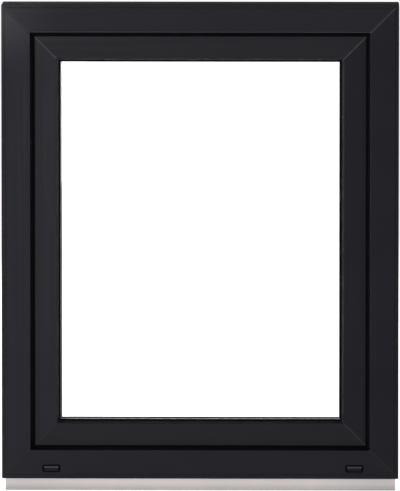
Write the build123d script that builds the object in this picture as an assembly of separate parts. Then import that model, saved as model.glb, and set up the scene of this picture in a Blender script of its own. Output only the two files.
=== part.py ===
"""Small single-sash window for a basement wall, in welded multi-chamber plastic profiles.

The model frame: X runs to the right seen from outdoors, Y runs from outdoors to indoors, Z is up.
The origin is on the underside of the sill profile, midway along it and midway through the frame's depth.
All lengths are in millimetres.

Every profile section is drawn in two directions. "In" is the distance from the frame's outer edge
towards the middle of the window, and "deep" is the distance from the frame's outdoor face to indoors.
"""

from build123d import *
import os

os.makedirs("parts", exist_ok=True)

# Frame: size over the outer edges
frame_width = 750.0
frame_height = 900.0

# Frame profile
frame_depth = 70.0
face_width = 54.0  # outdoor face, from the outer edge to the arris of the lip
lip_slope = 4.4  # the lip's sloping edge runs this much further in
lip_depth = 9.5  # outdoor face to the back of the lip
lip_land = 1.3  # straight end of the lip's slope
rebate_height = 20.2  # lip above the rebate floor
floor_fall = 2.0  # the rebate floor drains towards the lip
floor_break = 34.0  # depth where that fall starts
edge_band_width = 6.5  # shallow step along the outer edge of the outdoor face
edge_band_drop = 0.7
outer_wall = 2.8
inner_web = 1.5
frame_web_shares = (0.29, 0.67, 0.83)  # webs between the chambers, as shares of the depth
arris_radius = 1.4
corner_radius = 1.0
weld_corner_radius = 3.0  # outer corners of the frame, trimmed after welding

# Grooves along the outer edge, which hold wall anchors and the sill profile's clips
clip_groove_places = (14.0, 33.0, 55.0)
clip_mouth = 7.0
clip_inside = 11.0
clip_groove_depth = 3.6
clip_lip = 1.2

# Sash profile
lip_overlap = 8.2  # frame lip over the edge of the sash
flange_height = 20.0  # indoor flange, past the edge of the sash
flange_thickness = 9.0
flange_gap = 4.0  # frame's indoor face to the flange
sash_width = 77.5  # flange edge to the sight line of the glass
sash_recess = 13.0  # the sash lies this far behind the frame's outdoor face
sash_lip_depth = 9.0
sash_bevel_width = 4.0
sash_bevel_depth = 7.5
sash_front_chamber = 12.0
flange_radius = 3.0
glazing_rebate = 16.0

# Hardware groove round the edge of the sash
hardware_axis = 13.0  # flange to the middle of the groove
hardware_seat_width = 16.0
hardware_seat_depth = 3.0
hardware_slot_width = 12.0
hardware_slot_depth = 6.0

# Glazing
pane_thickness = 4.0
pane_gap = 16.0
outer_gasket_thickness = 3.0
inner_gasket_thickness = 3.5
gasket_height = 8.0
outer_gasket_nose = 3.0  # how far the black edge stands past the sight line
inner_gasket_nose = 3.0  # past the edge of the bead
gasket_taper = 0.7
glass_clearance = 5.0
edge_seal_height = 5.5
spacer_height = 8.7
block_length = 100.0
block_inset = 60.0  # glass corner to the near end of a setting block

# Glazing bead
bead_rise = 2.0  # its edge stands this much past the sash's sight line
bead_wall = 1.6
bead_edge = 3.0  # flat top of the bead beside the glass
bead_toe = 3.0  # flat foot of the bead in the sash's indoor face
bead_bulge = 2.2
bead_groove_place = 14.0  # behind the bead's outdoor side
bead_groove_width = 3.6
bead_groove_depth = 4.5
bead_foot_clearance = 0.3

# Frame gasket behind the lip, and flange gasket on the indoor face of the frame
lip_gasket_height = 6.0
lip_gasket_nose = 4.0
flange_gasket_height = 5.0
flange_gasket_inset = 1.5

# Sill profile, clipped under the frame for the sill boards
sill_height = 25.0
sill_setback = 27.0
sill_depth = 37.0
sill_end_inset = 6.0
sill_wall = 2.4
sill_web = 1.5
sill_web_shares = (0.33, 0.67)  # upright webs, as shares of its depth
sill_shelf_share = 0.5  # level web, as a share of its height
sill_edge_radius = 1.2
sill_clip_neck = 6.0
sill_clip_head = 9.6
sill_clip_rise = 1.5
sill_clip_thickness = 1.5

# Drainage slots and their caps in the bottom of the frame
drain_left_inset = 93.5  # outer edge to the middle of the slot
drain_right_inset = 83.5
drain_height = 19.5  # above the frame's bottom edge
slot_length = 28.0
slot_width = 5.0
cap_length = 34.0
cap_height = 14.4
cap_corner = 3.6
cap_plate = 1.2
hood_length = 27.0
hood_height = 8.6
hood_rise = 3.4
hood_slope = 3.0
hood_wall = 1.0
spigot_clearance = 0.3
spigot_wall = 1.0

# Handle, on the indoor face of the stile opposite the hinges
handle_backset = 15.5  # edge of the sash to the spindle
rosette_width = 30.0
rosette_height = 72.0
rosette_thickness = 10.0
rosette_corner = 9.0
neck_radius = 9.5
neck_length = 12.0
lever_reach = 40.0  # rosette face to the middle of the lever
lever_length = 118.0
lever_width = 21.0
lever_thickness = 12.0
lever_bend = 15.0
lever_tip_chamfer = 2.0
rosette_edge = 2.5

# Hinges, on the left seen from outdoors
barrel_radius = 7.5
barrel_clearance = 1.0  # barrel to the edge of the flange
barrel_standoff = 1.0  # barrel to the frame's indoor face
pin_radius = 3.0
pin_clearance = 0.05
knuckle_gap = 0.4
leaf_thickness = 2.6
leaf_overlap = 16.0  # leaf on the indoor face of the sash, past the flange edge
upper_barrel_length = 66.0
upper_knuckle_length = 17.0
upper_end_inset = 12.0  # barrel end to the sash's corner
lower_bearing_height = 26.0
lower_sleeve_length = 46.0
lower_end_inset = 10.0
cap_chamfer = 1.2  # on the barrel ends
leaf_corner = 2.0

# Places worked out from the sizes above
lip_in = face_width + lip_slope
rebate_in = lip_in - rebate_height
sash_in = lip_in - lip_overlap
flange_in = sash_in - flange_height
sight_in = flange_in + sash_width
glazing_floor_in = sight_in - glazing_rebate
flange_back = frame_depth + flange_gap
sash_back = flange_back + flange_thickness
sash_lip_back = sash_recess + sash_lip_depth
outer_pane_front = sash_lip_back + outer_gasket_thickness
outer_pane_back = outer_pane_front + pane_thickness
inner_pane_front = outer_pane_back + pane_gap
inner_pane_back = inner_pane_front + pane_thickness
bead_front = inner_pane_back + inner_gasket_thickness
glass_edge_in = glazing_floor_in + glass_clearance
spacer_in = glass_edge_in + edge_seal_height
bead_in = sight_in + bead_rise

face_y = -frame_depth / 2
bottom_z = sill_height
top_z = sill_height + frame_height
side_x = frame_width / 2
sash_indoor_y = face_y + sash_back


def rounded(face, corner, radius):
    """Rounds the corner of a flat face that lies nearest to a point."""
    nearest = face.vertices().sort_by_distance(Vector(*corner))[0]
    return fillet(nearest, radius)


def patch(in_from, in_to, deep_from, deep_to):
    """A rectangle of a section, given by its sides."""
    middle = Pos((in_from + in_to) / 2, (deep_from + deep_to) / 2)
    return middle * Rectangle(in_to - in_from, deep_to - deep_from)


def section_plane(side):
    """The plane of a profile section on one side of the window: its x runs in, its y runs deep."""
    planes = {
        "bottom": Plane((side_x, face_y, bottom_z), x_dir=(0, 0, 1), z_dir=(-1, 0, 0)),
        "top": Plane((-side_x, face_y, top_z), x_dir=(0, 0, -1), z_dir=(1, 0, 0)),
        "left": Plane((-side_x, face_y, bottom_z), x_dir=(1, 0, 0), z_dir=(0, 0, 1)),
        "right": Plane((side_x, face_y, top_z), x_dir=(-1, 0, 0), z_dir=(0, 0, -1)),
    }
    return planes[side]


def mitre_wedge(side):
    """Everything on one side of the two 45 degree weld planes at the ends of that side's profile."""
    reach = sight_in + gasket_height
    corners = {
        "bottom": [(-side_x, bottom_z), (side_x, bottom_z), (side_x - reach, bottom_z + reach),
                   (-side_x + reach, bottom_z + reach)],
        "top": [(-side_x, top_z), (side_x, top_z), (side_x - reach, top_z - reach),
                (-side_x + reach, top_z - reach)],
        "left": [(-side_x, bottom_z), (-side_x, top_z), (-side_x + reach, top_z - reach),
                 (-side_x + reach, bottom_z + reach)],
        "right": [(side_x, bottom_z), (side_x, top_z), (side_x - reach, top_z - reach),
                  (side_x - reach, bottom_z + reach)],
    }
    outline = make_face(Polyline(*corners[side], close=True))
    return extrude(Plane.XZ * outline, amount=2 * sash_back, both=True)


def mitred(section, side):
    """One profile bar of the window: the section along that side, mitred at both ends."""
    length = frame_width if side in ("bottom", "top") else frame_height
    bar = extrude(section_plane(side) * section, amount=length)
    return bar & mitre_wedge(side)


def ring(section):
    """The section run round all four sides and joined at the corners."""
    bars = [mitred(section, side) for side in ("bottom", "left", "top", "right")]
    return bars[0] + bars[1] + bars[2] + bars[3]


def frame_section():
    """Hollow frame profile with its outdoor lip, sloping rebate floor and clip grooves."""
    outline = Polygon(
        (0, edge_band_drop),
        (edge_band_width, edge_band_drop),
        (edge_band_width + edge_band_drop, 0),
        (face_width, 0),
        (lip_in, lip_depth - lip_land),
        (lip_in, lip_depth),
        (rebate_in - floor_fall, lip_depth),
        (rebate_in, floor_break),
        (rebate_in, frame_depth),
        (0, frame_depth),
        align=None,
    )
    outline = rounded(outline, (0, edge_band_drop), corner_radius)
    outline = rounded(outline, (face_width, 0), arris_radius)
    outline = rounded(outline, (rebate_in, frame_depth), corner_radius)
    outline = rounded(outline, (0, frame_depth), corner_radius)

    for place in clip_groove_places:
        outline -= patch(0, clip_lip, place - clip_mouth / 2, place + clip_mouth / 2)
        outline -= patch(clip_lip, clip_groove_depth, place - clip_inside / 2, place + clip_inside / 2)

    lip_chamber_back = lip_depth - inner_web
    outline -= Polygon(
        (outer_wall, outer_wall + edge_band_drop),
        (edge_band_width + outer_wall, outer_wall),
        (face_width - inner_web, outer_wall),
        (lip_in - outer_wall, lip_chamber_back),
        (outer_wall, lip_chamber_back),
        align=None,
    )
    chamber_start = clip_groove_depth + inner_web
    chamber_end = rebate_in - floor_fall - outer_wall
    deep_from = lip_depth
    for share in frame_web_shares:
        web = share * frame_depth
        outline -= patch(chamber_start, chamber_end, deep_from, web - inner_web / 2)
        deep_from = web + inner_web / 2
    return outline - patch(chamber_start, chamber_end, deep_from, frame_depth - outer_wall)


def sash_section():
    """Hollow sash profile with its indoor flange, hardware groove, glazing lip and bead groove."""
    outline = Polygon(
        (sash_in, sash_recess),
        (sight_in - sash_bevel_width, sash_recess),
        (sight_in, sash_recess + sash_bevel_depth),
        (sight_in, sash_lip_back),
        (glazing_floor_in, sash_lip_back),
        (glazing_floor_in, sash_back),
        (flange_in, sash_back),
        (flange_in, flange_back),
        (sash_in, flange_back),
        align=None,
    )
    outline = rounded(outline, (sash_in, sash_recess), corner_radius)
    outline = rounded(outline, (sight_in - sash_bevel_width, sash_recess), arris_radius)
    outline = rounded(outline, (flange_in, sash_back), flange_radius)
    outline = rounded(outline, (flange_in, flange_back), corner_radius)

    groove = flange_back - hardware_axis
    seat_end = sash_in + hardware_seat_depth
    slot_end = seat_end + hardware_slot_depth
    outline -= patch(sash_in, seat_end, groove - hardware_seat_width / 2, groove + hardware_seat_width / 2)
    outline -= patch(seat_end, slot_end, groove - hardware_slot_width / 2, groove + hardware_slot_width / 2)
    bead_groove = bead_front + bead_groove_place
    outline -= patch(glazing_floor_in - bead_groove_depth, glazing_floor_in,
                     bead_groove - bead_groove_width / 2, bead_groove + bead_groove_width / 2)

    lip_chamber_front = sash_recess + outer_wall
    lip_chamber_back = sash_lip_back - inner_web
    outline -= Polygon(
        (sash_in + outer_wall, lip_chamber_front),
        (sight_in - sash_bevel_width - inner_web, lip_chamber_front),
        (sight_in - outer_wall, lip_chamber_back),
        (sash_in + outer_wall, lip_chamber_back),
        align=None,
    )
    body_end = glazing_floor_in - outer_wall
    web = sash_lip_back + sash_front_chamber
    seat_front = groove - hardware_seat_width / 2
    outline -= patch(sash_in + outer_wall, body_end, sash_lip_back, web)
    outline -= patch(sash_in + outer_wall, body_end, web + inner_web, seat_front - inner_web)
    outline -= patch(slot_end + inner_web, glazing_floor_in - bead_groove_depth - inner_web,
                     seat_front, flange_back)
    return outline - patch(flange_in + outer_wall, body_end, flange_back + outer_wall, sash_back - outer_wall)


def bead_section():
    """Hollow glazing bead with a softly crowned slope and a foot that snaps into the sash."""
    top_corner = (bead_in, bead_front + bead_edge)
    toe_corner = (glazing_floor_in + bead_toe, sash_back)
    middle = ((top_corner[0] + toe_corner[0]) / 2 + bead_bulge,
              (top_corner[1] + toe_corner[1]) / 2 + bead_bulge / 2)
    edge = Polyline(toe_corner, (glazing_floor_in, sash_back), (glazing_floor_in, bead_front),
                    (bead_in, bead_front), top_corner)
    crown = ThreePointArc(top_corner, middle, toe_corner)
    outline = make_face(edge.edges() + crown.edges())
    hollow = offset(outline, amount=-bead_wall, kind=Kind.INTERSECTION)
    groove = bead_front + bead_groove_place
    foot_half = bead_groove_width / 2 - bead_foot_clearance
    foot = patch(glazing_floor_in - bead_groove_depth + bead_foot_clearance, glazing_floor_in,
                 groove - foot_half, groove + foot_half)
    return outline - hollow + foot


def lip_gasket_section():
    """Outdoor seal: fixed behind the frame's lip, pressed on the face of the sash."""
    return Polygon(
        (lip_in - lip_gasket_height, lip_depth),
        (lip_in, lip_depth),
        (lip_in + lip_gasket_nose, lip_depth + gasket_taper),
        (lip_in + lip_gasket_nose, sash_recess - gasket_taper),
        (lip_in + lip_gasket_nose - gasket_taper, sash_recess),
        (lip_in - lip_gasket_height + gasket_taper, sash_recess),
        align=None,
    )


def flange_gasket_section():
    """Indoor seal: fixed in the flange, pressed on the frame's indoor face."""
    start = flange_in + flange_gasket_inset
    end = start + flange_gasket_height
    return Polygon(
        (start, flange_back),
        (start - gasket_taper, frame_depth + gasket_taper),
        (start, frame_depth),
        (end - gasket_taper, frame_depth),
        (end, flange_back),
        align=None,
    )


def outer_glazing_gasket_section():
    """Seal between the glazing lip and the outdoor pane, with a nose that shows as a black line."""
    start = sight_in - gasket_height
    return Polygon(
        (start, sash_lip_back),
        (sight_in, sash_lip_back),
        (sight_in + outer_gasket_nose, sash_lip_back + gasket_taper),
        (sight_in + outer_gasket_nose, outer_pane_front),
        (start, outer_pane_front),
        align=None,
    )


def inner_glazing_gasket_section():
    """Seal between the indoor pane and the glazing bead."""
    start = sight_in - gasket_height
    return Polygon(
        (start, inner_pane_back),
        (bead_in + inner_gasket_nose, inner_pane_back),
        (bead_in + inner_gasket_nose, bead_front - gasket_taper),
        (bead_in, bead_front),
        (start, bead_front),
        align=None,
    )


def pane(deep_from):
    """One sheet of glass of the insulating unit."""
    width = frame_width - 2 * glass_edge_in
    height = frame_height - 2 * glass_edge_in
    middle = Pos(0, face_y + deep_from + pane_thickness / 2, bottom_z + frame_height / 2)
    return middle * Box(width, pane_thickness, height)


def glazing_block(across, up):
    """A block between the glass and the floor of the glazing rebate.

    The two middle distances say which side it is on: the lower blocks lie and carry the glass,
    and the ones at the sides stand and hold it square.
    """
    unit_depth = inner_pane_back - outer_pane_front
    deep = face_y + outer_pane_front + unit_depth / 2
    corner_inset = glass_edge_in + block_inset + block_length / 2
    block_in = glazing_floor_in + glass_clearance / 2
    if up == 0:
        lying = Box(block_length, unit_depth, glass_clearance)
        return Pos(across * (side_x - corner_inset), deep, bottom_z + block_in) * lying
    standing = Box(glass_clearance, unit_depth, block_length)
    middle_z = bottom_z + frame_height / 2 + up * (frame_height / 2 - corner_inset)
    return Pos(across * (side_x - block_in), deep, middle_z) * standing


def sill_profile():
    """Hollow sill profile under the frame, held by two clip rails in the frame's grooves."""
    outline = patch(sill_setback, sill_setback + sill_depth, 0, sill_height)
    outline = rounded(outline, (sill_setback, 0), sill_edge_radius)
    outline = rounded(outline, (sill_setback + sill_depth, 0), sill_edge_radius)
    for place in clip_groove_places:
        if sill_setback < place - clip_inside / 2 and place + clip_inside / 2 < sill_setback + sill_depth:
            neck_top = sill_height + sill_clip_rise
            outline += patch(place - sill_clip_neck / 2, place + sill_clip_neck / 2, sill_height, neck_top)
            outline += patch(place - sill_clip_head / 2, place + sill_clip_head / 2,
                             neck_top, neck_top + sill_clip_thickness)
    shelf = sill_shelf_share * sill_height
    chamber_ends = [share * sill_depth - sill_web / 2 for share in sill_web_shares]
    chamber_from = sill_setback + sill_wall
    for end in [*chamber_ends, sill_depth - sill_wall]:
        chamber_to = sill_setback + end
        outline -= patch(chamber_from, chamber_to, sill_wall, shelf - sill_web / 2)
        outline -= patch(chamber_from, chamber_to, shelf + sill_web / 2, sill_height - sill_wall)
        chamber_from = chamber_to + sill_web
    length = frame_width - 2 * sill_end_inset
    plane = Plane((-length / 2, face_y, 0), x_dir=(0, 1, 0), z_dir=(1, 0, 0))
    return extrude(plane * outline, amount=length)


drain_places = {
    "left": -side_x + drain_left_inset,
    "right": side_x - drain_right_inset,
}


def drain_plane(side):
    """The plane of the frame's outdoor face, centred on a drainage slot and facing outdoors."""
    return Plane((drain_places[side], face_y, bottom_z + drain_height), x_dir=(1, 0, 0), z_dir=(0, -1, 0))


def frame_bar(side):
    """One mitred bar of the frame. The bottom bar has the drainage slots milled through its face."""
    trimmed = RectangleRounded(frame_width, frame_height, weld_corner_radius)
    keep = extrude(Plane.XZ.offset(-frame_depth) * Pos(0, bottom_z + frame_height / 2) * trimmed,
                   amount=2 * frame_depth)
    bar = mitred(frame_section(), side) & keep
    if side == "bottom":
        for place in drain_places:
            slot = SlotOverall(slot_length, slot_width)
            bar -= extrude(drain_plane(place) * slot, amount=-(lip_depth - inner_web))
    return bar


def drain_cap(side):
    """Weather cap over a drainage slot: a rounded plate, a sloping hood open below, and a hollow spigot."""
    plate = extrude(RectangleRounded(cap_length, cap_height, cap_corner), amount=cap_plate)
    plate = chamfer(plate.edges().group_by(Axis.Z)[-1], cap_plate / 3)
    half = hood_height / 2
    hood_side = Polygon((half, 0), (half - hood_slope, hood_rise), (-half, hood_rise), (-half, 0), align=None)
    hood_plane = Plane((-hood_length / 2, 0, cap_plate), x_dir=(0, 1, 0), z_dir=(1, 0, 0))
    hood = extrude(hood_plane * hood_side, amount=hood_length)
    mouth_side = Polygon(
        (half - hood_slope, 0),
        (half - hood_slope - hood_wall, hood_rise - hood_wall),
        (-half, hood_rise - hood_wall),
        (-half, 0),
        align=None,
    )
    mouth_plane = Plane((-hood_length / 2 + hood_wall, 0, cap_plate), x_dir=(0, 1, 0), z_dir=(1, 0, 0))
    mouth = extrude(mouth_plane * mouth_side, amount=hood_length - 2 * hood_wall)
    spigot_width = slot_width - 2 * spigot_clearance
    spigot_length = slot_length - 2 * spigot_clearance
    spigot = extrude(SlotOverall(spigot_length, spigot_width), amount=-outer_wall)
    drain = extrude(
        Pos(0, 0, -outer_wall)
        * SlotOverall(spigot_length - 2 * spigot_wall, spigot_width - 2 * spigot_wall),
        amount=outer_wall + cap_plate,
    )
    cap = plate + (hood - mouth) + spigot - drain
    return drain_plane(side).location * cap


def handle_axis():
    """Where the handle's spindle meets the indoor face of the stile."""
    return Vector(side_x - sash_in - handle_backset, sash_indoor_y, bottom_z + frame_height / 2)


def indoor_plane(point):
    """A plane that faces indoors at a point, with its x to the left seen from indoors."""
    return Plane(point, x_dir=(-1, 0, 0), z_dir=(0, 1, 0))


def handle_rosette():
    """Cover plate of the handle, screwed to the stile."""
    outline = RectangleRounded(rosette_width, rosette_height, rosette_corner)
    body = extrude(indoor_plane(handle_axis()) * outline, amount=rosette_thickness)
    return chamfer(body.edges().group_by(Axis.Y)[-1], rosette_edge)


def handle_lever():
    """Cranked lever, closed: a round neck, a bend, and a flat grip that hangs down."""
    axis = handle_axis()
    foot = axis + Vector(0, rosette_thickness, 0)
    neck = extrude(indoor_plane(foot) * Circle(neck_radius), amount=neck_length)
    corner = foot + Vector(0, lever_reach, 0)
    tip = corner - Vector(0, 0, lever_length)
    path = FilletPolyline(foot + Vector(0, neck_length / 2, 0), corner, tip, radius=lever_bend)
    start = Plane(foot + Vector(0, neck_length / 2, 0), x_dir=(-1, 0, 0), z_dir=(0, 1, 0))
    grip = sweep(start * RectangleRounded(lever_width, lever_thickness, lever_thickness / 2 - 1), path=path)
    grip = chamfer(grip.edges().group_by(Axis.Z)[0], lever_tip_chamfer)
    return neck + grip


barrel_in = flange_in - barrel_clearance - barrel_radius
barrel_deep = frame_depth + barrel_standoff + barrel_radius
barrel_x = -side_x + barrel_in
barrel_y = face_y + barrel_deep
leaf_x = -side_x + flange_in + leaf_overlap


def knuckle(from_z, to_z, outer_end=None):
    """A length of hinge barrel, with its edge broken where it is an outer end."""
    body = Pos(barrel_x, barrel_y, (from_z + to_z) / 2) * Cylinder(barrel_radius, to_z - from_z)
    if outer_end == "top":
        body = chamfer(body.edges().group_by(Axis.Z)[-1], cap_chamfer)
    if outer_end == "bottom":
        body = chamfer(body.edges().group_by(Axis.Z)[0], cap_chamfer)
    return body


def pin_bore(from_z, to_z):
    """The bore for the pin between two heights."""
    middle = Pos(barrel_x, barrel_y, (from_z + to_z) / 2)
    return middle * Cylinder(pin_radius + pin_clearance, to_z - from_z)


def hinge_pin(from_z, to_z):
    """The pin between two heights."""
    return Pos(barrel_x, barrel_y, (from_z + to_z) / 2) * Cylinder(pin_radius, to_z - from_z)


def frame_foot(from_z, to_z):
    """The foot that carries a knuckle on the frame's indoor face."""
    foot = Box(2 * barrel_radius, barrel_standoff + barrel_radius, to_z - from_z)
    middle_y = face_y + frame_depth + (barrel_standoff + barrel_radius) / 2
    return Pos(barrel_x, middle_y, (from_z + to_z) / 2) * foot


def sash_leaf(from_z, to_z):
    """The leaf that runs from a knuckle on to the indoor face of the sash."""
    width = leaf_x - barrel_x
    leaf = Box(width, leaf_thickness, to_z - from_z)
    leaf = fillet(leaf.edges().filter_by(Axis.Y).group_by(Axis.X)[-1], leaf_corner)
    middle_y = sash_indoor_y + leaf_thickness / 2
    return Pos(barrel_x + width / 2, middle_y, (from_z + to_z) / 2) * leaf


upper_top = top_z - flange_in - upper_end_inset
upper_bottom = upper_top - upper_barrel_length
lower_bottom = bottom_z + flange_in + lower_end_inset
lower_split = lower_bottom + lower_bearing_height
lower_top = lower_split + knuckle_gap + lower_sleeve_length


def upper_hinge_frame_side():
    """Two knuckles on the frame, with the sash's knuckle between them."""
    body = knuckle(upper_top - upper_knuckle_length, upper_top, "top")
    body += knuckle(upper_bottom, upper_bottom + upper_knuckle_length, "bottom")
    body += frame_foot(upper_top - upper_knuckle_length, upper_top - cap_chamfer)
    body += frame_foot(upper_bottom + cap_chamfer, upper_bottom + upper_knuckle_length)
    back_from = face_y + frame_depth
    strap_height = upper_barrel_length - 2 * cap_chamfer
    strap = Box(2 * barrel_radius, barrel_standoff, strap_height)
    body += Pos(barrel_x, back_from + barrel_standoff / 2, (upper_top + upper_bottom) / 2) * strap
    return body - pin_bore(upper_bottom + cap_chamfer, upper_top - cap_chamfer)


def upper_hinge_sash_side():
    """The middle knuckle and its leaf on the sash."""
    from_z = upper_bottom + upper_knuckle_length + knuckle_gap
    to_z = upper_top - upper_knuckle_length - knuckle_gap
    body = knuckle(from_z, to_z) + sash_leaf(from_z, to_z)
    keep_clear = Pos(barrel_x, face_y + frame_depth, (from_z + to_z) / 2)
    body -= keep_clear * Box(2 * barrel_radius, 2 * (barrel_standoff + knuckle_gap), to_z - from_z)
    return body - pin_bore(from_z, to_z)


def lower_hinge_frame_side():
    """Corner bearing on the frame, with the pin that the sash turns on."""
    body = knuckle(lower_bottom, lower_split, "bottom")
    body += frame_foot(lower_bottom + cap_chamfer, lower_split)
    return body + hinge_pin(lower_split, lower_top - 2 * cap_chamfer)


def lower_hinge_sash_side():
    """Sleeve over the corner bearing's pin, with its leaf on the sash."""
    from_z = lower_split + knuckle_gap
    body = knuckle(from_z, lower_top, "top") + sash_leaf(from_z, lower_top - cap_chamfer)
    return body - pin_bore(from_z, lower_top - 2 * cap_chamfer)


pieces = {}
for side in ("bottom", "top", "left", "right"):
    pieces[f"frame_{side}"] = frame_bar(side)
    pieces[f"sash_{side}"] = mitred(sash_section(), side)
    pieces[f"glazing_bead_{side}"] = mitred(bead_section(), side)

pieces["outer_pane"] = pane(outer_pane_front)
pieces["inner_pane"] = pane(inner_pane_front)
pieces["spacer_bar"] = ring(patch(spacer_in, spacer_in + spacer_height, outer_pane_back, inner_pane_front))
pieces["edge_seal"] = ring(patch(glass_edge_in, spacer_in, outer_pane_back, inner_pane_front))
for side, across in (("left", -1), ("right", 1)):
    pieces[f"setting_block_{side}"] = glazing_block(across, 0)
    pieces[f"lower_location_block_{side}"] = glazing_block(across, -1)
    pieces[f"upper_location_block_{side}"] = glazing_block(across, 1)
pieces["lip_gasket"] = ring(lip_gasket_section())
pieces["flange_gasket"] = ring(flange_gasket_section())
pieces["outer_glazing_gasket"] = ring(outer_glazing_gasket_section())
pieces["inner_glazing_gasket"] = ring(inner_glazing_gasket_section())
pieces["sill_profile"] = sill_profile()
pieces["drain_cap_left"] = drain_cap("left")
pieces["drain_cap_right"] = drain_cap("right")
pieces["handle_rosette"] = handle_rosette()
pieces["handle_lever"] = handle_lever()
pieces["upper_hinge_frame_side"] = upper_hinge_frame_side()
pieces["upper_hinge_sash_side"] = upper_hinge_sash_side()
pieces["upper_hinge_pin"] = hinge_pin(upper_bottom + cap_chamfer, upper_top - cap_chamfer)
pieces["lower_hinge_frame_side"] = lower_hinge_frame_side()
pieces["lower_hinge_sash_side"] = lower_hinge_sash_side()

for name, shape in pieces.items():
    export_step(shape, f"parts/{name}.step")
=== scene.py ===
import math

import bmesh
import bpy
from mathutils import Matrix, Vector


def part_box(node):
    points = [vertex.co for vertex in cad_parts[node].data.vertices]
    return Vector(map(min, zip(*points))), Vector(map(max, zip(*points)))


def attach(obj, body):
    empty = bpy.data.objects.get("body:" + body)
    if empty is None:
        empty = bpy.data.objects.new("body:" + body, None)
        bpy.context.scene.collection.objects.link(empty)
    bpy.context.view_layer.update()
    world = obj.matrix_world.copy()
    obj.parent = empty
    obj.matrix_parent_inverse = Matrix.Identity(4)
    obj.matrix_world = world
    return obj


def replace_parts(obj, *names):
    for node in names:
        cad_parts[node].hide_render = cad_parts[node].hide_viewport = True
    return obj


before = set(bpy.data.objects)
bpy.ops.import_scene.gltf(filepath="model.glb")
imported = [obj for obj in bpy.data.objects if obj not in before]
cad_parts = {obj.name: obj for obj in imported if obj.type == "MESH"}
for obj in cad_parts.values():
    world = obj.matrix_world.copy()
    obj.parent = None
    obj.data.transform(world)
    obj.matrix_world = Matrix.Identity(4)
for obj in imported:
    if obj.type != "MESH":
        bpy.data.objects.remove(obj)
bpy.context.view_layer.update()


# Frame. Four hollow profiles extruded in anthracite plastic, cut at 45 degrees and welded at the corners.
# The skin is a smooth satin, faintly mottled, with draw lines from the die along each bar. The sloping end
# of the lip is a soft black plastic extruded with it. A fine light arris over the upper one is a painted
# highlight, and a thin painted shadow line runs along the step near the outer edge.
anthracite = (0.0116, 0.0105, 0.0162)
lip_black = (0.0020, 0.0018, 0.0027)
skin_gloss = 0.145
frame_roughness = 0.40
standing_fall = 0.06
lip_slope = 0.0044
step_place = 0.0074
step_width = 0.0012
step_shade = 0.62
arris_width = 0.0016
arris_highlight_gain = 2.8


def new_finish(name, roughness, specular=0.5):
    """A material with its shader, and the coordinates of the piece that wears it."""
    material = bpy.data.materials.new(name)
    material.use_nodes = True
    nodes = material.node_tree.nodes
    shader = nodes["Principled BSDF"]
    shader.inputs["Roughness"].default_value = roughness
    shader.inputs["Specular IOR Level"].default_value = specular
    place = nodes.new("ShaderNodeTexCoord")
    return material, shader, place.outputs["Object"]


def feed(shader, socket, value):
    """A value or colour led into the shader."""
    shader.id_data.links.new(value, shader.inputs[socket])


def stretched(material, coordinates, scale):
    """The coordinates scaled by axis, so that a pattern can run along a bar."""
    mapping = material.node_tree.nodes.new("ShaderNodeMapping")
    mapping.inputs["Scale"].default_value = scale
    material.node_tree.links.new(coordinates, mapping.inputs["Vector"])
    return mapping.outputs["Vector"]


def noise(material, coordinates, scale, detail=3.0, roughness=0.55):
    """A noise value at so many waves a metre."""
    texture = material.node_tree.nodes.new("ShaderNodeTexNoise")
    texture.inputs["Scale"].default_value = scale
    texture.inputs["Detail"].default_value = detail
    texture.inputs["Roughness"].default_value = roughness
    material.node_tree.links.new(coordinates, texture.inputs["Vector"])
    return texture.outputs["Fac"]


def ranged(material, value, low, high, from_low=0.3, from_high=0.7):
    """A value brought between two limits."""
    span = material.node_tree.nodes.new("ShaderNodeMapRange")
    span.inputs["From Min"].default_value = from_low
    span.inputs["From Max"].default_value = from_high
    span.inputs["To Min"].default_value = low
    span.inputs["To Max"].default_value = high
    material.node_tree.links.new(value, span.inputs["Value"])
    return span.outputs["Result"]


def worked_out(material, operation, *terms):
    """A sum, product or comparison of values and plain numbers."""
    step = material.node_tree.nodes.new("ShaderNodeMath")
    step.operation = operation
    for socket, term in zip(step.inputs, terms):
        if isinstance(term, float):
            socket.default_value = term
        else:
            material.node_tree.links.new(term, socket)
    return step.outputs["Value"]


def along_axis(material, coordinates, axis):
    """One of the three coordinates."""
    parts = material.node_tree.nodes.new("ShaderNodeSeparateXYZ")
    material.node_tree.links.new(coordinates, parts.inputs["Vector"])
    return parts.outputs[axis]


def tinted(material, colour, strength):
    """The colour made lighter and darker by a value around 1."""
    tint = material.node_tree.nodes.new("ShaderNodeVectorMath")
    tint.operation = "SCALE"
    if isinstance(colour, tuple):
        tint.inputs[0].default_value = colour
    else:
        material.node_tree.links.new(colour, tint.inputs[0])
    material.node_tree.links.new(strength, tint.inputs["Scale"])
    return tint.outputs["Vector"]


def chosen(material, share, first, second):
    """The first colour where the share is 0 and the second where it is 1."""
    mix = material.node_tree.nodes.new("ShaderNodeMix")
    mix.data_type = "RGBA"
    material.node_tree.links.new(share, mix.inputs["Factor"])
    for socket, colour in ((mix.inputs[6], first), (mix.inputs[7], second)):
        if isinstance(colour, tuple):
            socket.default_value = (*colour, 1.0)
        else:
            material.node_tree.links.new(colour, socket)
    return mix.outputs[2]


def raised(material, height, distance, strength=1.0, below=None):
    """A bump normal from a height value, laid over another one."""
    bump = material.node_tree.nodes.new("ShaderNodeBump")
    bump.inputs["Distance"].default_value = distance
    bump.inputs["Strength"].default_value = strength
    material.node_tree.links.new(height, bump.inputs["Height"])
    if below is not None:
        material.node_tree.links.new(below, bump.inputs["Normal"])
    return bump.outputs["Normal"]


frame_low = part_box("frame_left")[0]
frame_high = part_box("frame_right")[1]
middle_x = (frame_low.x + frame_high.x) / 2
middle_z = (frame_low.z + frame_high.z) / 2


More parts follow.
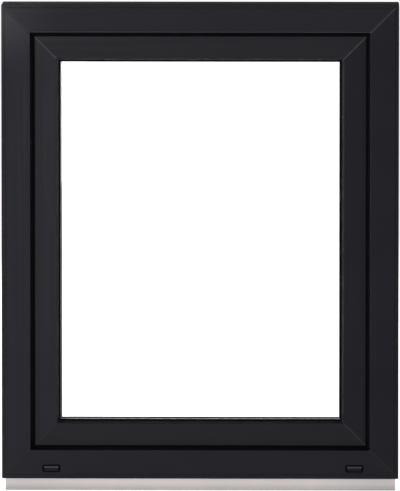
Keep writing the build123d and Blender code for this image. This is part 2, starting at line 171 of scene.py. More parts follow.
def away_from(material, coordinates, axis, middle):
    """How far a point is from a middle plane along one axis."""
    offset = worked_out(material, "SUBTRACT", along_axis(material, coordinates, axis), middle)
    return worked_out(material, "ABSOLUTE", offset)


def profile_plastic(name, colour, along, roughness, mottle=0.08, fall=0.0):
    """Extruded profile skin. along is the bar's direction: 0 for a lying bar and 2 for a standing one.
    fall is how steeply the face of the bar drops back towards the outside of the window."""
    material, shader, place = new_finish(name, roughness, skin_gloss)
    die_waves = [700.0, 700.0, 700.0]
    die_waves[along] = 3.0
    die_lines = noise(material, stretched(material, place, die_waves), scale=1.0, detail=2.0)
    patches = ranged(material, noise(material, place, scale=7.0, detail=2.0), 1.0 - mottle, 1.0 + mottle)
    speckle = ranged(material, noise(material, place, scale=520.0), 1.0 - mottle, 1.0 + mottle)
    grain = noise(material, place, scale=1500.0, detail=2.0)
    skin_colour = tinted(material, colour, worked_out(material, "MULTIPLY", patches, speckle))
    feed(shader, "Base Color", skin_colour)
    feed(shader, "Roughness", ranged(material, die_lines, roughness - 0.05, roughness + 0.07))
    across_bar = ("X", middle_x) if along == 2 else ("Z", middle_z)
    from_middle = away_from(material, place, *across_bar)
    leaning = raised(material, worked_out(material, "MULTIPLY", from_middle, -1.0), distance=fall)
    lines = raised(material, die_lines, distance=0.00004, strength=0.35, below=leaning)
    feed(shader, "Normal", raised(material, grain, distance=0.00003, strength=0.45, below=lines))
    return material, shader, place, skin_colour, from_middle


def dress(node, material):
    """The material put on a node that keeps its shape."""
    piece = bpy.data.objects[node]
    for slot in piece.material_slots:
        slot.material = material


for side, along, fall, lip_end, outer_edge in (
    ("lying", 0, 0.0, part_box("frame_top")[0].z - middle_z, frame_high.z - middle_z),
    ("standing", 2, standing_fall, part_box("frame_right")[0].x - middle_x, frame_high.x - middle_x),
):
    frame_skin, shader, place, skin_colour, from_middle = profile_plastic(
        f"frame_skin_{side}", anthracite, along, frame_roughness, fall=fall
    )
    # Painted shadow: the face is darkened in a thin line along the step near its outer edge.
    off_step = worked_out(
        frame_skin, "ABSOLUTE", worked_out(frame_skin, "SUBTRACT", from_middle, outer_edge - step_place)
    )
    shade = ranged(frame_skin, off_step, step_shade, 1.0, from_low=step_width / 4, from_high=step_width)
    # Painted highlight: on the lying bars a fine light line is painted along the arris over the lip.
    if side == "lying":
        height = along_axis(frame_skin, place, "Z")
        arris_from = middle_z + lip_end + lip_slope
        over_lip = worked_out(frame_skin, "GREATER_THAN", height, arris_from)
        fading = ranged(
            frame_skin,
            height,
            arris_highlight_gain,
            0.0,
            from_low=arris_from + arris_width / 2,
            from_high=arris_from + arris_width,
        )
        shade = worked_out(frame_skin, "ADD", shade, worked_out(frame_skin, "MULTIPLY", fading, over_lip))
    on_lip = worked_out(frame_skin, "LESS_THAN", from_middle, lip_end + lip_slope)
    face_colour = tinted(frame_skin, skin_colour, shade)
    feed(shader, "Base Color", chosen(frame_skin, on_lip, face_colour, lip_black))
    for bar in ("bottom", "top") if side == "lying" else ("left", "right"):
        dress(f"frame_{bar}", frame_skin)


# Corner welds of the frame. The plastic that the weld presses out is scraped off, which leaves a low bead
# across the skin, lighter and duller than the profile beside it. How much lighter each one is differs by
# corner:
# partly the scraping, partly painted highlight for how the seam catches the light. On the outer sides they
# are trimmed off flush.
scraped = (0.0122, 0.0116, 0.0145)
scraped_roughness = 0.42
weld_rise = 0.00010
weld_edge_rise = 0.00004
weld_root = 0.0003
frame_weld_half_width = 0.0030
# Painted highlight: each frame corner's seam gets its own lightening, for how that seam catches the light.
frame_weld_scrape_and_glint = (0.1, 0.3, 0.3, 1.7)
same_point = 0.000005
on_line = 0.00001
sliver = 0.00002
near = 0.0001


def scraped_weld(name, half_width, scrape_and_glint, black_beyond=1.0):
    """The scraped skin over a joint, lightest along its middle and fading into the bars, partly as painted
    highlight.
    black_beyond is how far in from the outside of the window the soft black lip begins, and a metre where
    there is none."""
    material, shader, place = new_finish(name, scraped_roughness, skin_gloss)
    short_of_side, short_of_end = (
        worked_out(material, "SUBTRACT", away_from(material, place, axis, middle), outer - middle)
        for axis, middle, outer in (("X", middle_x, frame_high.x), ("Z", middle_z, frame_high.z))
    )
    off_joint = worked_out(
        material, "ABSOLUTE", worked_out(material, "SUBTRACT", short_of_side, short_of_end)
    )
    scrape = noise(material, place, scale=900.0, detail=2.0)
    patchy = ranged(material, noise(material, place, scale=110.0, detail=2.0), 0.75, 1.25)
    fading = ranged(
        material, off_joint, scrape_and_glint, 0.0, from_low=half_width * 0.4, from_high=half_width * 1.3
    )
    lighter = worked_out(material, "ADD", worked_out(material, "MULTIPLY", fading, patchy), 1.0)
    light = worked_out(material, "MULTIPLY", lighter, ranged(material, scrape, 0.9, 1.1))
    short_of_edge = worked_out(material, "MAXIMUM", short_of_side, short_of_end)
    on_lip = worked_out(material, "LESS_THAN", short_of_edge, -black_beyond)
    feed(shader, "Base Color", chosen(material, on_lip, tinted(material, scraped, light), lip_black))
    feed(shader, "Normal", raised(material, scrape, distance=0.00006, strength=0.5))
    return material


def add_piece(name, shape, material):
    """A new piece of the window from a finished shape."""
    mesh = bpy.data.meshes.new(name)
    shape.to_mesh(mesh)
    shape.free()
    mesh.materials.append(material)
    piece = bpy.data.objects.new(name, mesh)
    bpy.context.scene.collection.objects.link(piece)
    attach(piece, "root")
    return piece


def corner_weld(name, lying_bar, standing_bar, across, up, half_width, plastic):
    """The bead over the joint of two bars, cut from their own skins so that it follows every step of them."""
    reach_x = frame_high.x - middle_x
    reach_z = frame_high.z - middle_z
    corner = Vector((across * reach_x + middle_x, 0.0, middle_z + up * reach_z))
    joint_normal = Vector((across, 0.0, -up)).normalized()
    bead = bmesh.new()
    for bar in (lying_bar, standing_bar):
        bead.from_mesh(bpy.data.objects[bar].data)
    bmesh.ops.remove_doubles(bead, verts=bead.verts, dist=same_point)
    bead.normal_update()
    cut_faces = [
        face for face in bead.faces
        if abs(face.normal.dot(joint_normal)) > 0.99
        and abs((face.calc_center_median() - corner).dot(joint_normal)) < near
    ]
    bmesh.ops.delete(bead, geom=cut_faces, context="FACES")
    for way in (1.0, -1.0):
        bmesh.ops.bisect_plane(
            bead,
            geom=bead.verts[:] + bead.edges[:] + bead.faces[:],
            plane_co=corner + way * half_width * joint_normal,
            plane_no=way * joint_normal,
            clear_outer=True,
        )
    bmesh.ops.dissolve_degenerate(bead, dist=sliver, edges=bead.edges[:])
    outer_side = [
        vert for vert in bead.verts
        if abs(vert.co.x - middle_x) > reach_x - weld_root or abs(vert.co.z - middle_z) > reach_z - weld_root
    ]
    bmesh.ops.delete(bead, geom=outer_side, context="VERTS")
    outermost = min(bead.verts, key=lambda vert: vert.co.y)
    skin = {outermost}
    edge_of_skin = [outermost]
    while edge_of_skin:
        vert = edge_of_skin.pop()
        for neighbour in (edge.other_vert(vert) for edge in vert.link_edges):
            if neighbour not in skin:
                skin.add(neighbour)
                edge_of_skin.append(neighbour)
    bmesh.ops.delete(bead, geom=[vert for vert in bead.verts if vert not in skin], context="VERTS")
    bead.normal_update()
    for vert in bead.verts:
        on_joint = abs((vert.co - corner).dot(joint_normal)) < on_line
        vert.co += vert.normal * (weld_rise if on_joint else weld_edge_rise)
    weld = add_piece(name, bead, plastic)
    into_bar = weld.modifiers.new("root", "SOLIDIFY")
    into_bar.thickness = weld_root
    into_bar.offset = -1.0


frame_face_width = frame_high.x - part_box("frame_right")[0].x
corners = (
    ("bottom", "left", -1, -1),
    ("bottom", "right", 1, -1),
    ("top", "left", -1, 1),
    ("top", "right", 1, 1),
)
for (lying, standing, across, up), scrape_and_glint in zip(corners, frame_weld_scrape_and_glint):
    name = f"frame_weld_{lying}_{standing}"
    plastic = scraped_weld(name, frame_weld_half_width, scrape_and_glint, frame_face_width - lip_slope)
    corner_weld(name, f"frame_{lying}", f"frame_{standing}", across, up, frame_weld_half_width, plastic)


# Drain caps. Moulded covers clicked into the slots of the bottom profile: a black base, whose black partly
# stands in for painted shadow round the hood, and over the slot a sloping hood in anthracite, whose upward
# slope is painted lighter as a painted highlight. The mould leaves a fine even grain.
cap_black_and_shadow = (0.0012, 0.0012, 0.0015)
hood_anthracite = (0.0110, 0.0103, 0.0140)
cap_base_thickness = 0.0013
painted_highlight_gain = 7.0
cap_plastic, shader, place = new_finish("drain_cap_plastic", 0.42, specular=0.08)
facing = cap_plastic.node_tree.nodes["Texture Coordinate"].outputs["Normal"]
depth = along_axis(cap_plastic, place, "Y")
on_hood = worked_out(cap_plastic, "LESS_THAN", depth, frame_low.y - cap_base_thickness)
mould_grain = noise(cap_plastic, place, scale=1800.0, detail=2.0)
# Painted highlight: the hood's upward-facing slope is made lighter in colour.
upward = along_axis(cap_plastic, facing, "Z")
painted_highlight = ranged(cap_plastic, upward, 1.0, painted_highlight_gain, from_low=0.3, from_high=0.6)
hood_shade = worked_out(cap_plastic, "MULTIPLY", painted_highlight, ranged(cap_plastic, mould_grain, 0.85, 1.15))
hood_colour = tinted(cap_plastic, hood_anthracite, hood_shade)
# The base is painted black, and this black also stands in for painted shadow round the hood.
feed(shader, "Base Color", chosen(cap_plastic, on_hood, cap_black_and_shadow, hood_colour))
feed(shader, "Roughness", ranged(cap_plastic, on_hood, 0.8, 0.34, from_low=0.0, from_high=1.0))
feed(shader, "Normal", raised(cap_plastic, mould_grain, distance=0.00005, strength=0.5))
for side in ("left", "right"):
    dress(f"drain_cap_{side}", cap_plastic)


# Frame gasket. Soft black rubber, extruded and fixed behind the lip, and pressed on the face of the sash. A
# little talc is left on its skin.
rubber_black = (0.0016, 0.0016, 0.0018)
gasket_rubber, shader, place = new_finish("gasket_rubber", 0.65, specular=0.04)
talc = noise(gasket_rubber, place, scale=260.0, detail=4.0, roughness=0.7)
talc_shade = ranged(gasket_rubber, talc, 0.7, 1.6, from_low=0.4, from_high=0.75)
rubber_grain = noise(gasket_rubber, place, scale=1300.0, detail=2.0)
feed(shader, "Base Color", tinted(gasket_rubber, rubber_black, talc_shade))
feed(shader, "Roughness", ranged(gasket_rubber, talc, 0.58, 0.72))
feed(shader, "Normal", raised(gasket_rubber, rubber_grain, distance=0.00005, strength=0.5))
dress("lip_gasket", gasket_rubber)


# Sash and glazing beads. The same plastic as the frame in profiles of their own, the sash mitred and welded
# the same way. The beads clip into it from indoors and hold the glass.
sash_roughness = 0.38
sash_weld_half_width = 0.0022
# Painted highlight: each sash corner's seam gets its own lightening, for how that seam catches the light.
sash_weld_scrape_and_glint = (0.6, 1.0, 2.9, 2.9)
for side, along, fall in (("lying", 0, 0.0), ("standing", 2, standing_fall)):
    sash_skin = profile_plastic(f"sash_skin_{side}", anthracite, along, sash_roughness, fall=fall)[0]
    for bar in ("bottom", "top") if side == "lying" else ("left", "right"):
        dress(f"sash_{bar}", sash_skin)
        dress(f"glazing_bead_{bar}", sash_skin)
for (lying, standing, across, up), scrape_and_glint in zip(corners, sash_weld_scrape_and_glint):
    name = f"sash_weld_{lying}_{standing}"
    plastic = scraped_weld(name, sash_weld_half_width, scrape_and_glint)
    corner_weld(name, f"sash_{lying}", f"sash_{standing}", across, up, sash_weld_half_width, plastic)


# Blocks under and beside the glass. Hard black plastic, moulded with ribs across so that water runs past
# them. They lie loose in the rebate of the sash and carry and centre the panes.
block_black = (0.03, 0.03, 0.032)
block_plastic, shader, place = new_finish("block_plastic", 0.5)
rib_waves = block_plastic.node_tree.nodes.new("ShaderNodeTexWave")
rib_waves.inputs["Scale"].default_value = 60.0
block_plastic.node_tree.links.new(place, rib_waves.inputs["Vector"])
ribs = rib_waves.outputs["Fac"]
rib_shade = ranged(block_plastic, ribs, 0.7, 1.1, from_low=0.0, from_high=1.0)
feed(shader, "Base Color", tinted(block_plastic, block_black, rib_shade))
feed(shader, "Normal", raised(block_plastic, ribs, distance=0.0006, strength=0.8))
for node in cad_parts:
    if "block" in node:
        dress(node, block_plastic)


# Panes. Two sheets of clear float glass, which stand on the blocks and let daylight through. They are held
# apart by the spacer bar and glued to it.
glass, shader, place = new_finish("clear_glass", 0.0)
shader.inputs["Transmission Weight"].default_value = 1.0
shader.inputs["IOR"].default_value = 1.2
shader.inputs["Base Color"].default_value = (0.985, 0.995, 0.99, 1.0)
nodes = glass.node_tree.nodes
open_to_light = nodes.new("ShaderNodeBsdfTransparent")
open_to_light.inputs["Color"].default_value = (0.93, 0.95, 0.94, 1.0)
path = nodes.new("ShaderNodeLightPath")
choice = nodes.new("ShaderNodeMixShader")
glass.node_tree.links.new(path.outputs["Is Shadow Ray"], choice.inputs["Fac"])
glass.node_tree.links.new(shader.outputs["BSDF"], choice.inputs[1])
glass.node_tree.links.new(open_to_light.outputs["BSDF"], choice.inputs[2])
glass.node_tree.links.new(choice.outputs["Shader"], nodes["Material Output"].inputs["Surface"])
for node in ("outer_pane", "inner_pane"):
    dress(node, glass)


# Spacer bar. Thin aluminium rolled to a box and filled with drying beads. Two rows of fine holes in its
# open face let the beads breathe, painted as dark spots for the painted shade inside them, and black
# sealing mastic covers the faces that hold the panes.
aluminium = (0.36, 0.36, 0.36)
hole_shade = (0.02, 0.02, 0.02)
mastic_black = (0.004, 0.004, 0.004)
hole_pitch = 0.0025
hole_radius = 0.0004
hole_row = 0.0034
bare_metallic = 0.6
spacer_low, spacer_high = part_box("spacer_bar")
spacer_metal, shader, place = new_finish("spacer_metal", 0.4)
facing = spacer_metal.node_tree.nodes["Texture Coordinate"].outputs["Normal"]
upward = worked_out(spacer_metal, "ABSOLUTE", along_axis(spacer_metal, facing, "Z"))
lies = worked_out(spacer_metal, "GREATER_THAN", upward, 0.5)
stands = worked_out(spacer_metal, "SUBTRACT", 1.0, lies)
run_x = worked_out(spacer_metal, "MULTIPLY", along_axis(spacer_metal, place, "X"), lies)
run_z = worked_out(spacer_metal, "MULTIPLY", along_axis(spacer_metal, place, "Z"), stands)
run = worked_out(spacer_metal, "ADD", run_x, run_z)
from_hole = worked_out(spacer_metal, "PINGPONG", run, hole_pitch / 2)
from_centre = away_from(spacer_metal, place, "Y", (spacer_low.y + spacer_high.y) / 2)
from_row = worked_out(spacer_metal, "SUBTRACT", from_centre, hole_row)
squares = worked_out(
    spacer_metal,
    "ADD",
    worked_out(spacer_metal, "MULTIPLY", from_hole, from_hole),
    worked_out(spacer_metal, "MULTIPLY", from_row, from_row),
)
# Painted shade: the holes are dark spots in the colour.
in_hole = worked_out(spacer_metal, "LESS_THAN", squares, hole_radius * hole_radius)
towards_pane = worked_out(spacer_metal, "ABSOLUTE", along_axis(spacer_metal, facing, "Y"))
on_mastic = worked_out(spacer_metal, "GREATER_THAN", towards_pane, 0.5)
rolled = ranged(spacer_metal, noise(spacer_metal, place, scale=400.0), 0.9, 1.1)
with_holes = chosen(spacer_metal, in_hole, tinted(spacer_metal, aluminium, rolled), hole_shade)
feed(shader, "Base Color", chosen(spacer_metal, on_mastic, with_holes, mastic_black))
bare = worked_out(spacer_metal, "SUBTRACT", 1.0, worked_out(spacer_metal, "MAXIMUM", on_mastic, in_hole))
feed(shader, "Metallic", worked_out(spacer_metal, "MULTIPLY", bare, bare_metallic))
unpierced = worked_out(spacer_metal, "SUBTRACT", 1.0, in_hole)
feed(shader, "Normal", raised(spacer_metal, unpierced, distance=0.0003))
dress("spacer_bar", spacer_metal)


# Edge seal. Black sealant trowelled into the gap between the panes, outside the spacer. It glues the two
# sheets into one unit and keeps moisture out.
sealant_black = (0.02, 0.02, 0.021)
sealant, shader, place = new_finish("edge_sealant", 0.7, specular=0.3)
trowelled = noise(sealant, place, scale=120.0, detail=4.0)
feed(shader, "Base Color", tinted(sealant, sealant_black, ranged(sealant, trowelled, 0.7, 1.3)))
feed(shader, "Normal", raised(sealant, trowelled, distance=0.0004, strength=0.7))
dress("edge_seal", sealant)


# Glazing gaskets and flange gasket. The same black rubber as the frame's gasket: one ring between each pane
# and the plastic, and one in the flange of the sash, pressed on the indoor face of the frame.
for node in ("outer_glazing_gasket", "inner_glazing_gasket", "flange_gasket"):
    dress(node, gasket_rubber)


# Handle. Cast metal with an anthracite powder coat: a rounded cover plate on the stile, a collar, and a
# lever that turns down from its neck and thins towards a rounded tip.
coat = (0.0165, 0.0155, 0.0205)
plate_corner = 0.009
plate_edge = 0.0026
neck_radius = 0.0095
lever_half_width = 0.0103
lever_half_thickness = 0.006
lever_squareness = 0.72
lever_bend = 0.015
bend_steps = 10
tip_half_thickness = 0.0052
tip_width_share = 0.62
tip_share = 0.05
collar_radius = 0.0135
collar_top_radius = 0.0125
collar_height = 0.002
collar_edge = 0.0006

hardware_coat, shader, place = new_finish("powder_coat", 0.36, specular=0.35)
coat_grain = noise(hardware_coat, place, scale=900.0)
feed(shader, "Base Color", tinted(hardware_coat, coat, ranged(hardware_coat, coat_grain, 0.85, 1.2)))
feed(shader, "Roughness", ranged(hardware_coat, coat_grain, 0.30, 0.44))
feed(shader, "Normal", raised(hardware_coat, coat_grain, distance=0.00008, strength=0.5))


def hardware(name, shape, smooth_below=35.0):
    """A coated piece, shaded round over its rounded edges and with its flat faces kept flat."""
    piece = add_piece(name, shape, hardware_coat)
    piece.data.shade_smooth()
    piece.data.set_sharp_from_angle(angle=math.radians(smooth_below))
    piece.modifiers.new("flat_faces", "WEIGHTED_NORMAL").keep_sharp = True
    return piece


def round_off(shape, edges, offset, segments):
    """The edges rounded."""
    bmesh.ops.bevel(
        shape, geom=edges, offset=offset, segments=segments, profile=0.5, affect="EDGES", material=-1
    )


def edges_at(verts):
    """The edges that meet at these points, each once."""
    return list(dict.fromkeys(edge for vert in verts for edge in vert.link_edges))


def block(shape, low, high):
    """A plain block between two corners."""
    size = high - low
    return bmesh.ops.create_cube(
        shape, size=1.0, matrix=Matrix.Translation((low + high) / 2) @ Matrix.Diagonal((*size, 1.0))
    )["verts"]


plate_low, plate_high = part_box("handle_rosette")
cover = bmesh.new()
block(cover, plate_low, plate_high)
corner_edges = [edge for edge in cover.edges if abs(edge.verts[0].co.y - edge.verts[1].co.y) > near]
round_off(cover, corner_edges, plate_corner, segments=10)
rim = [
    edge for edge in cover.edges
    if all(vert.co.y > plate_high.y - near for vert in edge.verts) and len(edge.link_faces) == 2
]
round_off(cover, rim, plate_edge, segments=5)
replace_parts(hardware("handle_cover_plate", cover), "handle_rosette")

spindle = Vector(((plate_low.x + plate_high.x) / 2, plate_high.y, (plate_low.z + plate_high.z) / 2))
lever_low, lever_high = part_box("handle_lever")
lever_reach = lever_high.y - plate_high.y - lever_half_thickness
lever_drop = spindle.z - lever_low.z


def lever_ring(shape, out, down, turn, half_width, half_thickness, squareness=lever_squareness):
    """One cross-section of the lever. turn is 0 where it points out of the window and 90 where it hangs."""
    ring = bmesh.ops.create_circle(shape, segments=36, radius=1.0)["verts"]
    for vert in ring:
        vert.co.x = math.copysign(abs(vert.co.x) ** squareness, vert.co.x) * half_width
        vert.co.y = math.copysign(abs(vert.co.y) ** squareness, vert.co.y) * half_thickness
    bmesh.ops.rotate(shape, verts=ring, matrix=Matrix.Rotation(math.radians(90.0 + turn), 3, "X"))
    bmesh.ops.translate(shape, verts=ring, vec=spindle + Vector((0.0, out, -down)))
    return edges_at(ring)


grip = bmesh.new()
rings = [
    lever_ring(grip, out, 0.0, 0.0, half_width, half_thickness, squareness)
    for out, half_width, half_thickness, squareness in (
        (0.0, neck_radius, neck_radius, 1.0),
        (0.010, neck_radius, neck_radius, 1.0),
        (0.014, neck_radius, 0.0082, 0.92),
        (0.019, 0.0100, 0.0066, 0.80),
        (lever_reach - lever_bend, lever_half_width, lever_half_thickness, lever_squareness),
    )
]
for step in range(1, bend_steps + 1):
    turn = 90.0 * step / bend_steps
    out = lever_reach - lever_bend * (1.0 - math.sin(math.radians(turn)))
    down = lever_bend * (1.0 - math.cos(math.radians(turn)))
    rings.append(lever_ring(grip, out, down, turn, lever_half_width, lever_half_thickness))
for share, half_width, half_thickness in (
    (0.25, 0.0100, 0.0058),
    (0.55, 0.0099, 0.0055),
    (0.85, 0.0102, 0.0053),
    (0.94, lever_half_width, tip_half_thickness),
):
    rings.append(lever_ring(grip, lever_reach, lever_drop * share, 90.0, half_width, half_thickness))
for turn in (20.0, 40.0, 60.0, 75.0, 86.0):
    sine = math.sin(math.radians(turn))
    cosine = math.cos(math.radians(turn))
    down = lever_drop * (1.0 - tip_share) + lever_drop * tip_share * sine
    half_width = lever_half_width * (tip_width_share + (1.0 - tip_width_share) * cosine)
    rings.append(lever_ring(grip, lever_reach, down, 90.0, half_width, tip_half_thickness * cosine))
for first, second in zip(rings, rings[1:]):
    bmesh.ops.bridge_loops(grip, edges=first + second)
bmesh.ops.edgeloop_fill(grip, edges=rings[0])
bmesh.ops.edgeloop_fill(grip, edges=rings[-1])
bmesh.ops.recalc_face_normals(grip, faces=grip.faces)
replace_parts(hardware("handle_grip", grip, smooth_below=50.0), "handle_lever")

collar = bmesh.new()
collar_middle = spindle + Vector((0.0, collar_height / 2, 0.0))
bmesh.ops.create_cone(
    collar,
    cap_ends=True,
    segments=64,
    radius1=collar_radius,
    radius2=collar_top_radius,
    depth=collar_height,
    matrix=Matrix.Translation(collar_middle) @ Matrix.Rotation(-math.pi / 2, 4, "X"),
)
top_edges = [
    edge for edge in collar.edges
    if all(vert.co.y > spindle.y + collar_height - near for vert in edge.verts)
]
round_off(collar, top_edges, collar_edge, segments=3)
hardware("handle_collar", collar)


# Hinges. Cast and coated like the handle. Each is a barrel of knuckles that turn on a steel pin, with a
# foot on the frame and a leaf on the sash.
barrel_edge = 0.0008
upper_knuckle = 0.017
knuckle_gap = 0.0004
foot_width_share = 0.8
foot_inset = 0.0012
foot_edge = 0.0006
strap_thickness = 0.0012
strap_edge = 0.0004
leaf_thickness = 0.0026
leaf_corner = 0.003
leaf_edge = 0.0008
sleeve_cap = 0.0012
pin_radius = 0.003
pin_edge = 0.0004
pin_overlap = 0.001
bearing_lip = 0.0006
zinc = (0.55, 0.54, 0.52)

upper_low, upper_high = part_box("upper_hinge_frame_side")
lower_low, lower_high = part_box("lower_hinge_frame_side")
barrel_radius = (upper_high.x - upper_low.x) / 2
barrel_axis = Vector((upper_low.x + barrel_radius, upper_high.y - barrel_radius, 0.0))
frame_back = upper_low.y
sash_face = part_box("sash_left")[1].y


def barrel(shape, from_z, to_z, radius, edge):
    """A turned length of barrel with its end edges broken."""
    made = bmesh.ops.create_cone(
        shape,
        cap_ends=True,
        segments=64,
        radius1=radius,
        radius2=radius,
        depth=to_z - from_z,
        matrix=Matrix.Translation((barrel_axis.x, barrel_axis.y, (from_z + to_z) / 2)),
    )
    rims = [rim for rim in edges_at(made["verts"]) if abs(rim.verts[0].co.z - rim.verts[1].co.z) < near]
    round_off(shape, rims, edge, segments=3)


def rounded_block(shape, low, high, edge):
    """A block between two corners, with every edge rounded."""
    round_off(shape, edges_at(block(shape, low, high)), edge, segments=3)


def foot(shape, from_z, to_z):
    """The block that carries a length of barrel on the face of the frame."""
    rounded_block(
        shape,
        Vector((barrel_axis.x - barrel_radius * foot_width_share, frame_back, from_z)),
        Vector((barrel_axis.x + barrel_radius * foot_width_share, barrel_axis.y, to_z)),
        foot_edge,
    )


knuckles = bmesh.new()
for from_z, to_z in (
    (upper_low.z, upper_low.z + upper_knuckle),
    (upper_high.z - upper_knuckle, upper_high.z),
):
    barrel(knuckles, from_z, to_z, barrel_radius, barrel_edge)
    foot(knuckles, from_z + foot_inset, to_z - foot_inset)
rounded_block(
    knuckles,
    Vector((upper_low.x, frame_back, upper_low.z + foot_inset)),
    Vector((upper_high.x, frame_back + strap_thickness, upper_high.z - foot_inset)),
    strap_edge,
)
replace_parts(hardware("upper_hinge_knuckles", knuckles), "upper_hinge_frame_side")

for name, node, top_cap in (
    ("upper_hinge_leaf", "upper_hinge_sash_side", 0.0),
    ("lower_hinge_leaf", "lower_hinge_sash_side", sleeve_cap),
):
    leaf_low, leaf_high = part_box(node)
    leaf_length = leaf_high.z - leaf_low.z - top_cap
    leaf_middle = (
        (barrel_axis.x + leaf_high.x) / 2,
        sash_face + leaf_thickness / 2,
        (leaf_low.z + leaf_high.z - top_cap) / 2,
    )
    leaf = bmesh.new()
    barrel(leaf, leaf_low.z, leaf_high.z, barrel_radius, barrel_edge)
    bmesh.ops.create_cube(
        leaf,
        size=1.0,
        matrix=Matrix.Translation(leaf_middle)
        @ Matrix.Diagonal((leaf_high.x - barrel_axis.x, leaf_thickness, leaf_length, 1.0)),
    )
    far_edges = [
        edge for edge in leaf.edges
        if all(vert.co.x > leaf_high.x - near for vert in edge.verts)
        and abs(edge.verts[0].co.y - edge.verts[1].co.y) > near
    ]
    round_off(leaf, far_edges, leaf_corner, segments=6)
    face_edges = [
        edge for edge in leaf.edges
        if all(vert.co.x > barrel_axis.x + barrel_radius for vert in edge.verts)
        and all(vert.co.y > sash_face + leaf_thickness - near for vert in edge.verts)
    ]
    round_off(leaf, face_edges, leaf_edge, segments=3)
    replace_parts(hardware(name, leaf), node)

bearing = bmesh.new()
bearing_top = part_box("lower_hinge_sash_side")[0].z - knuckle_gap
barrel(bearing, lower_low.z, bearing_top, barrel_radius, barrel_edge)
barrel(bearing, bearing_top - pin_overlap, lower_high.z, pin_radius, pin_edge)
foot(bearing, lower_low.z + foot_inset, bearing_top - bearing_lip)
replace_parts(hardware("lower_hinge_bearing", bearing), "lower_hinge_frame_side")

pin_steel, shader, place = new_finish("pin_steel", 0.3)
shader.inputs["Metallic"].default_value = 1.0
turning_marks = stretched(pin_steel, place, (80.0, 80.0, 4000.0))
turned = noise(pin_steel, turning_marks, scale=1.0, detail=2.0)
feed(shader, "Base Color", tinted(pin_steel, zinc, ranged(pin_steel, turned, 0.85, 1.1)))
feed(shader, "Normal", raised(pin_steel, turned, distance=0.00003, strength=0.5))
dress("upper_hinge_pin", pin_steel)


# Sill profile. Hollow off-white plastic clipped under the frame, left plain because it is built in, with
# painted shade darkening it along its foot and towards its ends. The ends are sawn, so its chambers show.
off_white = (0.91, 0.845, 0.835)
foot_shade = 0.72
end_shade = 0.88
sill_plastic, shader, place, skin_colour, from_middle = profile_plastic(
    "sill_profile_plastic", off_white, 0, roughness=0.45, mottle=0.03
)
# Painted shade: the colour darkens towards the foot and towards both ends.
foot_painted_shade = ranged(
    sill_plastic, from_middle, 1.0, foot_shade, from_low=middle_z - 0.014, from_high=middle_z - 0.003
)
to_end = away_from(sill_plastic, place, "X", middle_x)
end_painted_shade = ranged(sill_plastic, to_end, 1.0, end_shade, from_low=0.22, from_high=0.36)
painted_shade = worked_out(sill_plastic, "MULTIPLY", foot_painted_shade, end_painted_shade)
feed(shader, "Base Color", tinted(sill_plastic, skin_colour, painted_shade))
dress("sill_profile", sill_plastic)


# Studio. A pale floor that gives back much light in a dim room, a lamp in front and to the left, low ones at
# both sides, a soft one overhead, a narrow one that glances off the upper left corner, two behind, and one
# at the right end.
room_glow = 0.18
room_glow_seen = 1.3
floor_glow = 0.24
floor_glow_seen = 0.60
floor_glow_through_glass = 0.4
floor_half_size = 60.0


def seen_by_camera(material):
    """1 for what the camera sees straight or through glass and 0 for bounced light, and the light path."""
    path = material.node_tree.nodes.new("ShaderNodeLightPath")
    bounces = worked_out(material, "ADD", path.outputs["Diffuse Depth"], path.outputs["Glossy Depth"])
    return worked_out(material, "LESS_THAN", bounces, 0.5), path


studio = bpy.data.worlds.new("studio")
bpy.context.scene.world = studio
studio.use_nodes = True
sky = studio.node_tree.nodes["Background"]
sky.inputs["Color"].default_value = (1.0, 1.0, 1.0, 1.0)
seen, path = seen_by_camera(studio)
feed(sky, "Strength", ranged(studio, seen, room_glow, room_glow_seen, from_low=0.0, from_high=1.0))

floor_shape = bmesh.new()
bmesh.ops.create_grid(floor_shape, x_segments=1, y_segments=1, size=floor_half_size)
floor_data = bpy.data.meshes.new("studio_floor")
floor_shape.to_mesh(floor_data)
floor_shape.free()
floor = bpy.data.objects.new("studio_floor", floor_data)
bpy.context.scene.collection.objects.link(floor)
floor_paper, paper, place = new_finish("studio_floor", 0.9, specular=0.0)
paper.inputs["Base Color"].default_value = (0.8, 0.8, 0.8, 1.0)
paper.inputs["Emission Color"].default_value = (1.0, 1.0, 1.0, 1.0)
seen, path = seen_by_camera(floor_paper)
straight = worked_out(floor_paper, "MULTIPLY_ADD", seen, floor_glow_seen, floor_glow)
through_glass = worked_out(floor_paper, "MULTIPLY", seen, path.outputs["Is Transmission Ray"])
glow = worked_out(floor_paper, "MULTIPLY_ADD", through_glass, floor_glow_through_glass, straight)
feed(paper, "Emission Strength", glow)
floor_data.materials.append(floor_paper)


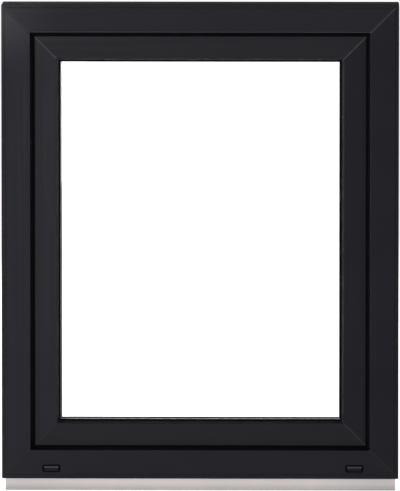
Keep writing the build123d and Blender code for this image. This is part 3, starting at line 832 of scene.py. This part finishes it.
def hang(light, place, aim):
    """A lamp hung at a place and pointed at another."""
    holder = bpy.data.objects.new(light.name, light)
    holder.location = place
    holder.rotation_euler = (Vector(aim) - Vector(place)).to_track_quat("-Z", "Y").to_euler()
    holder.visible_camera = False
    bpy.context.scene.collection.objects.link(holder)


window_middle = (0.0, 0.0, 0.45)
for name, place, aim, width, height, power in (
    ("front_lamp", (-1.2, -6.8, 0.45), window_middle, 1.6, 1.2, 60.0),
    ("left_lamp", (-4.8, -4.8, 0.5), window_middle, 2.0, 1.2, 145.0),
    ("right_lamp", (4.8, -4.8, 0.5), window_middle, 2.0, 1.2, 50.0),
    ("overhead_lamp", (-0.2, -0.25, 2.9), (-0.2, 0.0, 0.0), 1.6, 1.6, 8.0),
    ("back_lamp_left", (3.0, 3.9, 0.9), (0.0, 0.0, 0.5), 1.8, 1.2, 40.0),
    ("back_lamp_right", (-1.8, 3.9, 1.6), (0.0, 0.0, 0.5), 1.8, 1.2, 90.0),
    ("right_end_lamp", (3.2, 0.5, 0.9), (0.37, 0.0, 0.45), 0.8, 0.8, 5.0),
):
    soft_light = bpy.data.lights.new(name, "AREA")
    soft_light.shape = "RECTANGLE"
    soft_light.size = width
    soft_light.size_y = height
    soft_light.energy = power
    hang(soft_light, place, aim)

corner_light = bpy.data.lights.new("corner_lamp", "SPOT")
corner_light.energy = 130.0
corner_light.spot_size = math.radians(4.4)
corner_light.spot_blend = 1.0
corner_light.shadow_soft_size = 0.05
hang(corner_light, (-1.3, -2.6, 0.8), (-0.372, 0.0, 0.92))


# Camera. Eighteen metres off with a long lens, a little above the window and to its right. It looks back at
# the window without any shift, and all of it is sharp.
sensor_width = 36.0
focal_length_in_pixels = 9576.7
picture_height = 491.0
looking_down = 5.1952
turned_left = 0.9554
camera_data = bpy.data.cameras.new("camera")
camera = bpy.data.objects.new("camera", camera_data)
bpy.context.scene.collection.objects.link(camera)
bpy.context.scene.camera = camera
camera_data.sensor_width = sensor_width
camera_data.lens = sensor_width * focal_length_in_pixels / picture_height
camera.location = (0.30, -18.035, 2.105)
camera.rotation_euler = (math.radians(90.0 - looking_down), 0.0, math.radians(turned_left))
camera_data.clip_end = 200.0
camera_data.dof.use_dof = False

bpy.context.scene.view_settings.view_transform = "Standard"
